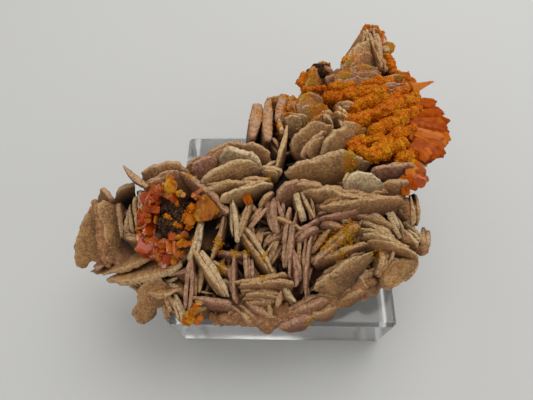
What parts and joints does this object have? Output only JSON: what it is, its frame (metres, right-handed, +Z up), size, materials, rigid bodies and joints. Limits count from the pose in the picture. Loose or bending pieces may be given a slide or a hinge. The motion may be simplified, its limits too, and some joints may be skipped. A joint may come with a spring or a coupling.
{
  "type": "wulfenite on matrix mineral specimen",
  "caption": "Cluster of tan barite blades with orange wulfenite tablets and an orange mimetite crust, resting on a square block of clear acrylic",
  "frame": {"origin": "centre of the acrylic block's underside", "axes": "+Z up, +X to the right and +Y to the back as the specimen is shown"},
  "size_m": [0.0834, 0.0785, 0.0457],
  "materials": {
    "acrylic": "polished clear cast acrylic",
    "barite": "matt tan crystal blades with paler rims and brown gaps",
    "mimetite": "sparkling yellow-orange crust of tiny crystals",
    "dark_ore": "dull brown-black ore",
    "wulfenite": "glassy translucent orange crystal"
  },
  "bodies": {
    "root": {"acrylic_block": "acrylic", "barite_matrix": "barite", "mimetite_crust": "mimetite", "dark_ore_core": "dark_ore", "dark_ore_lump": "dark_ore", "wulfenite_ring": "wulfenite", "wulfenite_amber_plate": "wulfenite", "wulfenite_centre_tablet": "wulfenite", "wulfenite_front_cluster": "wulfenite", "wulfenite_right_fan": "wulfenite", "wulfenite_spike": "wulfenite", "wulfenite_tip_tablet": "wulfenite", "wulfenite_side_cluster": "wulfenite"}
  },
  "joints": []
}
